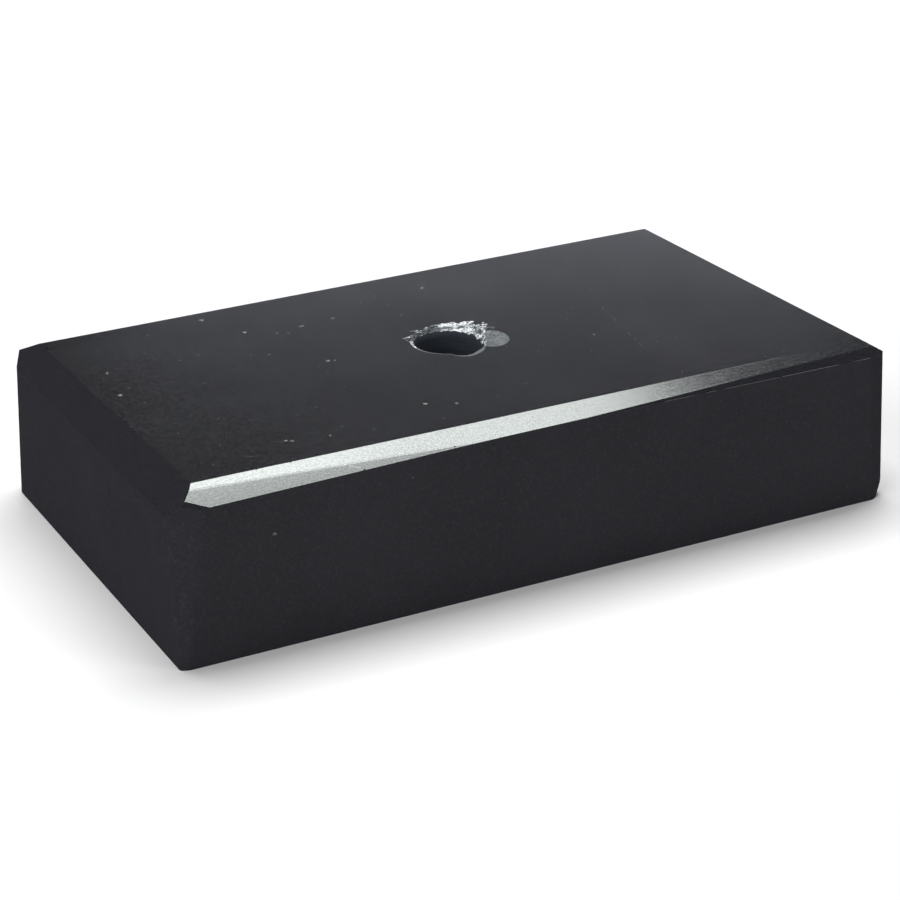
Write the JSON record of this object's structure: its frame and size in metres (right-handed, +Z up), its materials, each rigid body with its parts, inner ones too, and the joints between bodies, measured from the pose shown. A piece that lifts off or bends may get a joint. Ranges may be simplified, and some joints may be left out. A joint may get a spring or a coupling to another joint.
{
  "type": "sharpening whetstone",
  "caption": "Flat rectangular block of black honed stone with bevelled top edges and a round hole drilled through its middle.",
  "frame": {"origin": "centre of the outline of the underside, the face the block rests on", "axes": "+X along the block's length to the right-hand end, +Y across its width to the back, +Z up out of the top face"},
  "size_m": [0.1016, 0.0636, 0.0222],
  "materials": {
    "black_stone": null
  },
  "bodies": {
    "root": {"stone_block": "black_stone"}
  },
  "joints": []
}
